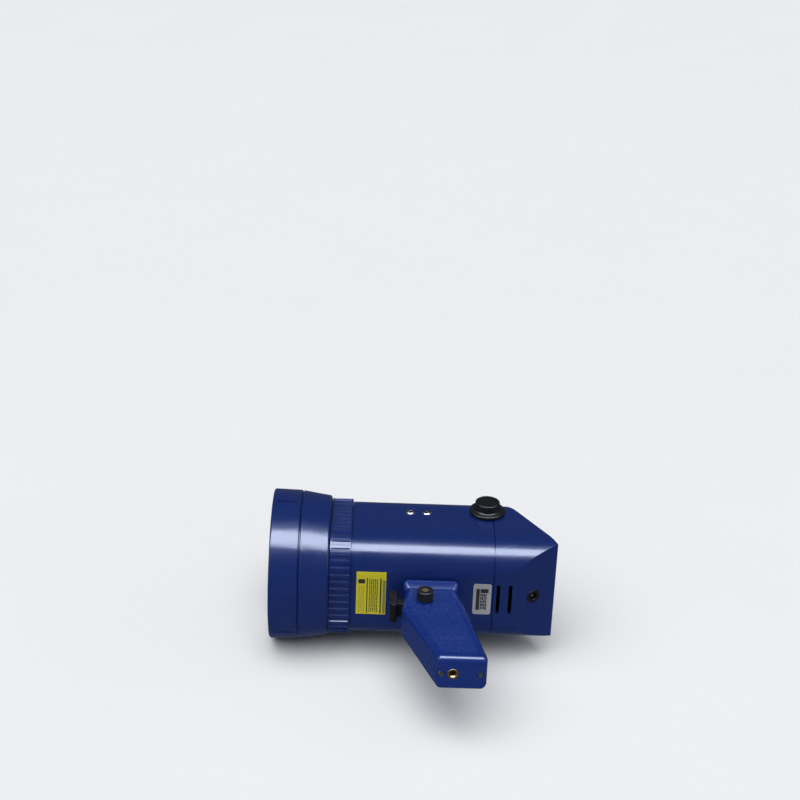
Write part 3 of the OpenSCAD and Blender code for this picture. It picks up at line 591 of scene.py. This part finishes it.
def add_box(bm, low, high, at):
    outline = [(low[0], low[1]), (high[0], low[1]), (high[0], high[1]), (low[0], high[1])]
    add_prism(bm, outline, low[2], high[2], at)


def add_tube(bm, spine, radius, count):
    """Round wire along a list of points."""
    loops = []
    for i, p in enumerate(spine):
        along = (spine[min(i + 1, len(spine) - 1)] - spine[max(i - 1, 0)]).normalized()
        side = along.cross(OFF_AXIS).normalized()
        up = along.cross(side)
        loops.append([p + side * u + up * v for u, v in circle(radius, count)])
    add_loops(bm, loops)


def rounded(low, high, r, steps=5):
    """Outline of a rectangle with round corners."""
    corners = [(high[0] - r, high[1] - r, 0), (low[0] + r, high[1] - r, 90),
               (low[0] + r, low[1] + r, 180), (high[0] - r, low[1] + r, 270)]
    outline = []
    for x, y, start in corners:
        for i in range(steps + 1):
            a = math.radians(start + 90 * i / steps)
            outline.append((x + r * math.cos(a), y + r * math.sin(a)))
    return outline


# ---- fasteners ----

def add_screw(bm, at, head_r, head_h, shank_r, shank_l):
    """Pan-head screw with a cross recess; at(u, v, w) has w = 0 under the head, out of the hole."""
    count = 48
    point_r, point_l, neck, chamfer = 0.6, 0.5, 0.15, 0.1
    dome = ((1, 0.15), (1, 0.5), (0.95, 0.8), (0.86, 0.96), (0.76, 1))
    profile = [(shank_r * point_r, -shank_l), (shank_r, -shank_l + point_l), (shank_r, -neck)]
    profile += [(head_r - chamfer, 0)] + [(head_r * r, head_h * h) for r, h in dome]
    rings = [[bm.verts.new(at(u, v, w)) for u, v in circle(r, count)] for r, w in profile]
    for a, b in zip(rings, rings[1:]):
        for i in range(count):
            bm.faces.new((a[i], a[(i + 1) % count], b[(i + 1) % count], b[i]))
    bm.faces.new(list(reversed(rings[0])))
    # cross recess: four arms that narrow towards the seat
    arm, half = head_r * 0.6, head_r * 0.13
    taper, seat_level = 0.7, 0.3
    corners = [(arm, half), (half, half), (half, arm)]
    cross = []
    for quarter in range(4):
        a = math.radians(90 * quarter)
        cross += [(u * math.cos(a) - v * math.sin(a), u * math.sin(a) + v * math.cos(a)) for u, v in corners]
    mouth = [bm.verts.new(at(u, v, head_h)) for u, v in cross]
    seat = [bm.verts.new(at(u * taper, v * taper, head_h * seat_level)) for u, v in cross]
    for i in range(len(cross)):
        j = (i + 1) % len(cross)
        bm.faces.new((mouth[i], mouth[j], seat[j], seat[i]))
    bm.faces.new(seat)
    edges = []
    for loop in (rings[-1], mouth):
        for i in range(len(loop)):
            edges.append(bm.edges.get((loop[i], loop[(i + 1) % len(loop)])))
    bmesh.ops.triangle_fill(bm, use_beauty=True, edges=edges)


def replace_screws(node, out, head_h):
    """Stands detailed screws in for a node's plain ones; out is the way their heads face."""
    first_turn, turn_step, least_shank, near = 0.3, 0.7, 0.5, 0.1
    bm = bmesh.new()
    out = out.normalized()
    side = out.orthogonal().normalized()
    up = out.cross(side)
    for k, part in enumerate(solids(node)):
        heights = [p.dot(out) for p in part]
        top, low = max(heights), min(heights)
        across = [p - out * p.dot(out) for p in part]
        mid = sum(across, Vector()) / len(across)
        head_r = max((p - mid).length for p in across)
        shank_r = min((p - mid).length for p, h in zip(across, heights) if h < low + near)
        turn = turn_step * k + first_turn
        u_axis = side * math.cos(turn) + up * math.sin(turn)
        v_axis = out.cross(u_axis)
        base = mid + out * (top - head_h)

        def at(u, v, w):
            return base + u_axis * u + v_axis * v + out * w

        add_screw(bm, at, head_r, head_h, max(shank_r, least_shank), top - head_h - low)
    add_piece(node + "_detail", bm, "steel", replaces=node)


def build_fasteners():
    to_right, down = Vector((0, 0, -1)), Vector((0, -1, 0))
    replace_screws("panel_screws", FACE_OUT, head_h=0.85)
    replace_screws("cap_screws", to_right, head_h=0.9)
    replace_screws("grip_screws", to_right, head_h=2.1)
    replace_screws("base_screws", down, head_h=2.0)


# ---- grip texture ----

def flat_outline(node, sign, below):
    """Corners of the flat side of a grip shell under its shoulder: the outline of its outermost points."""
    near = 0.02
    body = [p for p in points(node) if p.y < below]
    reach = max(p.z * sign for p in body)
    flat = sorted({(round(p.x, 2), round(p.y, 2)) for p in body if p.z * sign > reach - near})

    def turn(a, b, c):
        return (b[0] - a[0]) * (c[1] - a[1]) - (b[1] - a[1]) * (c[0] - a[0])

    def half(rows):
        chain = []
        for p in rows:
            while len(chain) > 1 and turn(chain[-2], chain[-1], p) <= 0:
                chain.pop()
            chain.append(p)
        return chain[:-1]

    return half(flat) + half(flat[::-1]), reach


def inside(x, y, outline, margin):
    """True if a point is inside a counter-clockwise outline by at least a margin."""
    shortest = 0.01
    for (ax, ay), (bx, by) in zip(outline, outline[1:] + outline[:1]):
        length = math.hypot(bx - ax, by - ay)
        if length > shortest and ((bx - ax) * (y - ay) - (by - ay) * (x - ax)) / length < margin:
            return False
    return True


def add_texture(node, sign, keep_out):
    """Field of low diamond studs on the flat side of a grip shell."""
    pitch, height, lean, margin, under_shoulder = 2.3, 0.32, math.radians(12), 1.6, 3
    # half width as a share of the pitch and level over the shell: foot, wall, top
    stages = ((0.47, -0.05), (0.44, 0.08), (0.2, height))
    corners = ((1, 1), (-1, 1), (-1, -1), (1, -1))
    outline, reach = flat_outline(node, sign, span("trigger")[1].y - under_shoulder)
    bm = bmesh.new()
    xs = [p[0] for p in outline]
    ys = [p[1] for p in outline]
    mid_x, mid_y = (min(xs) + max(xs)) / 2, (min(ys) + max(ys)) / 2
    across = (math.cos(lean + math.pi / 4), math.sin(lean + math.pi / 4))
    along = (-across[1], across[0])
    rows = int(max(max(xs) - min(xs), max(ys) - min(ys)) / pitch) + 2
    for i in range(-rows, rows + 1):
        for j in range(-rows, rows + 1):
            x = mid_x + pitch * (i * across[0] + j * along[0])
            y = mid_y + pitch * (i * across[1] + j * along[1])
            if not inside(x, y, outline, margin):
                continue
            if any(math.hypot(x - kx, y - ky) < kr for kx, ky, kr in keep_out):
                continue
            loops = []
            for size, level in stages:
                loops.append([(x + pitch * size * (u * across[0] + v * along[0]),
                               y + pitch * size * (u * across[1] + v * along[1]),
                               sign * (reach + level)) for u, v in corners])
            add_loops(bm, loops)
    add_piece(node + "_studs", bm, "blue_grip", smooth=20)


def build_grip():
    round_knob, screw_keep_out = 2, 4.4
    mid = centre("lock_knob")
    lock = (mid.x, mid.y, span("lock_knob")[1].x - mid.x + round_knob)
    add_texture("grip_left", 1, [lock])
    screws = []
    for part in solids("grip_screws"):
        xs = [p.x for p in part]
        ys = [p.y for p in part]
        screws.append(((min(xs) + max(xs)) / 2, (min(ys) + max(ys)) / 2, screw_keep_out))
    add_texture("grip_right", -1, screws)


def build_trigger():
    """Half-round ribs across the hollow front of the trigger."""
    bow, hollow, rib_r, rib_proud, end_gap = 24, 1.9, 0.38, 0.05, 1.6
    low, high = span("trigger")
    half = high.z - end_gap
    mid = (low.y + high.y) / 2
    arc_x = low.x + hollow - bow
    bm = bmesh.new()
    for angle in range(-15, 16, 6):
        x = arc_x + (bow + rib_proud) * math.cos(math.radians(angle))
        y = mid + bow * math.sin(math.radians(angle))
        spine = [Vector((x, y, half * share)) for share in (-1, -0.5, 0, 0.5, 1)]
        add_tube(bm, spine, rib_r, count=12)
    add_piece("trigger_ribs", bm, "black_plastic", body="trigger")


# ---- labels ----

# how far a print stands over its film, and how far it is sunk in it
PRINT_PROUD = 0.03
PRINT_SUNK = 0.02


def on_underside(level):
    """Places prints on the barrel's underside: u along the barrel, v to the left side, w outwards."""
    return lambda u, v, w: (u, level - w, v)


def add_bars(bm, bars, at):
    for low_u, high_u, low_v, high_v in bars:
        add_box(bm, (low_u, low_v, -PRINT_SUNK), (high_u, high_v, PRINT_PROUD), at)


def greeked_lines(low, high, across_low, across_high, step, ink_share, seed):
    """Bars that stand for lines of print without any letters: each line is broken at uneven places."""
    shortest, spread, gap = 1.2, 1.9, 0.55
    line_phase, word_phase = 2.1, 1.7
    bars = []
    lines = int((across_high - across_low) / step)
    for k in range(lines):
        u = across_low + (k + 0.5) * step
        v = high
        i = 0
        while v > low + shortest:
            word = shortest + spread * abs(math.sin(seed + line_phase * k + word_phase * i))
            end = max(v - word, low)
            bars.append((u - step * ink_share / 2, u + step * ink_share / 2, end, v))
            v = end - gap
            i += 1
    return bars


def build_rating_print():
    """Grey label: a block along its front edge, a field of lines and a block at their head."""
    low, high = span("rating_label")
    foot, head, lines_head, block_foot = low.z + 4, high.z - 4.4, high.z - 9, high.z - 8.2
    at = on_underside(low.y)
    bm = bmesh.new()
    add_bars(bm, [(low.x + 2.4, low.x + 5.2, foot, head)], at)
    add_bars(bm, greeked_lines(foot, lines_head, low.x + 5.6, high.x - 2.2,
                               step=1.35, ink_share=0.8, seed=0.4), at)
    add_bars(bm, [(low.x + 5.8, high.x - 2.4, block_foot, head)], at)
    add_piece("rating_print", bm, "label_silver", finish="print_black")


def build_caution_print():
    """Yellow sticker: a block and a field of lines between two rules in black; in olive, fine lines
    under the block and a strip."""
    low, high = span("caution_sticker")
    round_corner = 4.2
    high.z -= round_corner
    width = high.x - low.x
    foot, head = low.z + 1, high.z - 1.2
    left = low.x + 1.6
    at = on_underside(low.y)
    bm = bmesh.new()
    for share, thick in ((0.35, 0.8), (0.80, 1.1)):
        add_bars(bm, [(low.x + share * width, low.x + share * width + thick, foot, head)], at)
    add_bars(bm, [(left, low.x + 0.29 * width, high.z - 6.4, high.z - 2.4)], at)
    add_bars(bm, greeked_lines(low.z + 2, high.z - 2, low.x + 0.42 * width, low.x + 0.78 * width,
                               step=1.5, ink_share=0.5, seed=1), at)
    add_piece("caution_print", bm, "sticker_yellow", finish="print_black")
    bm = bmesh.new()
    add_bars(bm, greeked_lines(low.z + 2, high.z - 9, left, low.x + 0.32 * width,
                               step=1.7, ink_share=0.3, seed=2), at)
    add_bars(bm, [(low.x + 0.89 * width, high.x - 0.5, foot, high.z - 3)], at)
    add_piece("caution_panel", bm, "sticker_yellow", finish="print_olive")


# ---- display face ----

SEGMENT_T = 0.02


def at_face(u, v, w):
    """u to the tool's left, v up the face, w out of it."""
    return on_face(w, v, u)


def add_segment(bm, u, v, length, thick, upright, level):
    """One pointed bar of a seven-bar figure."""
    half, t = length / 2, thick / 2
    outline = [(-half, 0), (-half + t, -t), (half - t, -t), (half, 0), (half - t, t), (-half + t, t)]
    if upright:
        outline = [(b, a) for a, b in outline]
    add_prism(bm, [(u + a, v + b) for a, b in outline], level, level + SEGMENT_T, at_face)


def add_figure(bm, u, v, width, height, thick, level):
    """All seven bars of one figure, centred at u and v."""
    gap = 0.4
    for row in (-1, 0, 1):
        add_segment(bm, u, v + row * height / 2, width - gap, thick, False, level)
    for side in (-1, 1):
        for row in (-1, 1):
            add_segment(bm, u + side * width / 2, v + row * height / 4, height / 2 - gap, thick, True, level)


def add_frame(bm, low, high, grow, r, line, level, thick):
    """Rounded line round a field of the display face; grow moves it out on all sides."""
    least_r = 0.2
    low = (low[0] - grow, low[1] - grow)
    high = (high[0] + grow, high[1] + grow)
    outer = rounded(low, high, r)
    inner = rounded((low[0] + line, low[1] + line), (high[0] - line, high[1] - line), max(r - line, least_r))
    section = ((outer, level), (outer, level + thick), (inner, level + thick), (inner, level))
    add_loops(bm, [[at_face(u, v, w) for u, v in outline] for outline, w in section], closed=True)


def build_display():
    corners = [face_coords(p) for p in points("display_window")]
    low = (min(c.z for c in corners), min(c.y for c in corners))
    high = (max(c.z for c in corners), max(c.y for c in corners))
    deck = max(face_coords(p).x for p in points("lcd_module"))
    inset, glass_low, glass_top, ink = 0.6, deck + 0.01, deck + 0.25, deck + 0.255
    bm = bmesh.new()
    add_box(bm, (low[0] + inset, low[1] + inset, glass_low),
            (high[0] - inset, high[1] - inset, glass_top), at_face)
    add_piece("lcd_field", bm, "board_green", finish="lcd")

    # a row of figures, and a row of short marks under them
    figures, width, height, gap, bar, lift = 5, 5.6, 12.5, 3.6, 1.1, 1.5
    signs, margin, half, foot, head = 6, 8, 1.6, 2.4, 3.4
    mid_v = (low[1] + high[1]) / 2 + lift
    bm = bmesh.new()
    for k in range(figures):
        add_figure(bm, (k - (figures - 1) / 2) * (width + gap), mid_v, width, height, bar, ink)
    for k in range(signs):
        u = low[0] + margin + k * (high[0] - low[0] - 2 * margin) / (signs - 1)
        add_box(bm, (u - half, low[1] + foot, ink), (u + half, low[1] + head, ink + SEGMENT_T), at_face)
    add_piece("lcd_segments", bm, "board_green", finish="lcd_segment")

    bm = bmesh.new()
    add_frame(bm, low, high, grow=-0.2, r=2, line=2.2, level=deck + 0.3, thick=0.8)
    add_piece("lcd_mask", bm, "black_panel")
    top = max(face_coords(p).x for p in points("display_panel"))
    bm = bmesh.new()
    add_frame(bm, low, high, grow=1.6, r=3, line=0.35, level=top - 0.01, thick=0.03)
    add_piece("display_line", bm, "black_panel", finish="print_white")


def build_key_marks():
    """Raised arrows on the four direction keys and a square on the middle one."""
    sunk, proud, edge = 0.12, 0.1, 0.06
    arrow = [(-1.5, -0.9), (1.5, -0.9), (0, 1.4)]
    square = [(-1, -1), (1, -1), (1, 1), (-1, 1)]
    marks = {"key_up": (arrow, 0), "key_left": (arrow, 270), "key_down": (arrow, 180),
             "key_right": (arrow, 90), "key_set": (square, 0)}
    for key, (outline, turn) in marks.items():
        spots = [face_coords(p) for p in points(key)]
        u = (min(s.z for s in spots) + max(s.z for s in spots)) / 2
        v = (min(s.y for s in spots) + max(s.y for s in spots)) / 2
        top = max(s.x for s in spots)
        c, s = math.cos(math.radians(turn)), math.sin(math.radians(turn))
        shape = [(u + a * c - b * s, v + a * s + b * c) for a, b in outline]
        bm = bmesh.new()
        add_prism(bm, shape, top - sunk, top + proud, at_face)
        round_off(add_piece(key + "_mark", bm, "key_rubber", body=key, finish="print_white"), edge)


# ---- lamp, sockets and thread ----

def build_lamp():
    """Electrodes in both legs of the flash tube, and the trigger wire wound round them."""
    low, high = span("flash_tube")
    leg = high.z - (high.y - low.y) / 2
    # radius, and distance in front of the tube's foot
    profile = ((0.6, 14), (1.2, 13.6), (1.2, 8), (0.4, 7.6), (0.4, 0.5))
    turns, steps, coil_r, wire_r, coil_start, coil_l = 5, 18, 2.52, 0.13, 9, 11
    electrodes = bmesh.new()
    wire = bmesh.new()
    for side in (-1, 1):
        def at(u, v, w, z=side * leg):
            return (w, u, z + v)

        add_turned(electrodes, [(r, high.x - back) for r, back in profile], at, count=24)
        spine = []
        for i in range(turns * steps + 1):
            a = math.tau * i / steps
            ahead = low.x + coil_start + coil_l * a / math.tau / turns
            spine.append(Vector(at(coil_r * math.cos(a), coil_r * math.sin(a), ahead)))
        add_tube(wire, spine, wire_r, count=6)
    add_piece("tube_electrodes", electrodes, "steel")
    add_piece("tube_trigger_wire", wire, "nickel")


def build_jacks():
    """Milled edge of the ring nut on each signal jack, and the dark insulator inside it."""
    teeth, tooth_low, tooth_high = 32, -1.45, -0.85
    tooth = ((3.75, -0.3), (4.1, -0.12), (4.1, 0.12), (3.75, 0.3))
    sunk, proud = -0.02, 0.06
    outer, inner = circle(2.55, 40), circle(1.82, 40)
    section = ((outer, sunk), (outer, proud), (inner, proud), (inner, sunk))
    for node in ("input_jack", "output_jack"):
        mid = centre(node)
        front = span(node)[1].z

        def at(u, v, w):
            return (mid.x + u, mid.y + v, front + w)

        bm = bmesh.new()
        for i in range(teeth):
            a = math.tau * i / teeth
            c, s = math.cos(a), math.sin(a)
            add_prism(bm, [(c * r - s * t, s * r + c * t) for r, t in tooth], tooth_low, tooth_high, at)
        add_piece(node + "_milling", bm, "nickel")
        bm = bmesh.new()
        add_loops(bm, [[at(u, v, w) for u, v in ring] for ring, w in section], closed=True)
        add_piece(node + "_insulator", bm, "black_plastic")


def build_thread():
    """Brass bush with its helical thread cut inside."""
    low, high = span("tripod_bush")
    outer_r = (high.x - low.x) / 2
    crest_r, root_r, pitch = 2.62, 3.1, 1.27
    chamfer, mouth = 0.25, 0.2
    count, steps = 56, 76
    mid = centre("tripod_bush")
    length = high.y - low.y

    def ring_at(r, y):
        return [(mid.x + u, y, mid.z + v) for u, v in circle(r, count)]

    loops = [ring_at(outer_r - chamfer, low.y), ring_at(root_r + mouth, low.y)]
    for k in range(1, steps + 1):
        y = low.y + length * k / steps
        ring = []
        for i in range(count):
            phase = ((y - low.y) / pitch - i / count) % 1
            r = crest_r + (root_r - crest_r) * abs(2 * phase - 1)
            a = math.tau * i / count
            ring.append((mid.x + r * math.cos(a), y, mid.z + r * math.sin(a)))
        loops.append(ring)
    loops += [ring_at(outer_r, high.y), ring_at(outer_r, low.y + chamfer)]
    bm = bmesh.new()
    add_loops(bm, loops, closed=True)
    add_piece("tripod_bush_thread", bm, "brass", replaces="tripod_bush", smooth=40)


finishes = make_materials()
add_camera()
add_stage(paint("floor", (0.80, 0.80, 0.805), 0.75))
dress_cad()
build_fasteners()
build_grip()
build_trigger()
build_rating_print()
build_caution_print()
build_display()
build_key_marks()
build_lamp()
build_jacks()
build_thread()
